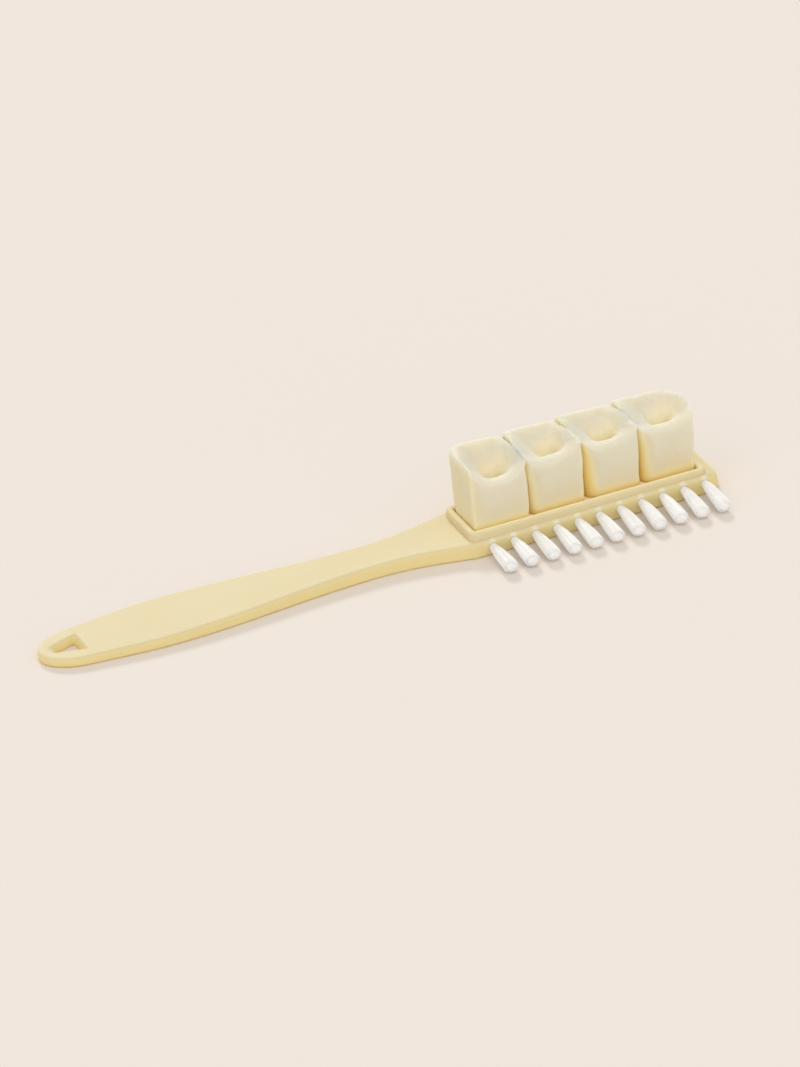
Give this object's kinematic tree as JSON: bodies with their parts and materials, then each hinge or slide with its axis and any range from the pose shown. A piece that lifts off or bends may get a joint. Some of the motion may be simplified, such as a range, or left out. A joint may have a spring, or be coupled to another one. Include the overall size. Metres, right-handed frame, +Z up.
{
  "type": "suede brush",
  "caption": "Slim flat-handled brush with upright crepe rubber loops on its head, a row of nylon tufts along one side, and a hanging hole.",
  "frame": {"origin": "on the flat underside, on the centreline, halfway along the moulded body", "axes": "+X from the hanging end towards the head's tip, -Y the way the nylon tufts point, +Z up, the way the crepe loops stand"},
  "size_m": [0.219, 0.0383, 0.029],
  "materials": {
    "body_plastic": "satin moulded pale yellow plastic",
    "crepe_rubber": "matt, slightly translucent natural crepe",
    "nylon": "white nylon filament",
    "set_adhesive": "amber set adhesive",
    "anchor_metal": "flat drawn wire"
  },
  "bodies": {
    "root": {"handle": "body_plastic", "glue_bed": "set_adhesive", "crepe_loop_1": "crepe_rubber", "crepe_loop_2": "crepe_rubber", "crepe_loop_3": "crepe_rubber", "crepe_loop_4": "crepe_rubber", "bristle_tuft_01": "nylon", "bristle_tuft_02": "nylon", "bristle_tuft_03": "nylon", "bristle_tuft_04": "nylon", "bristle_tuft_05": "nylon", "bristle_tuft_06": "nylon", "bristle_tuft_07": "nylon", "bristle_tuft_08": "nylon", "bristle_tuft_09": "nylon", "bristle_tuft_10": "nylon", "bristle_tuft_11": "nylon", "tuft_anchor_01": "anchor_metal", "tuft_anchor_02": "anchor_metal", "tuft_anchor_03": "anchor_metal", "tuft_anchor_04": "anchor_metal", "tuft_anchor_05": "anchor_metal", "tuft_anchor_06": "anchor_metal", "tuft_anchor_07": "anchor_metal", "tuft_anchor_08": "anchor_metal", "tuft_anchor_09": "anchor_metal", "tuft_anchor_10": "anchor_metal", "tuft_anchor_11": "anchor_metal"}
  },
  "joints": []
}
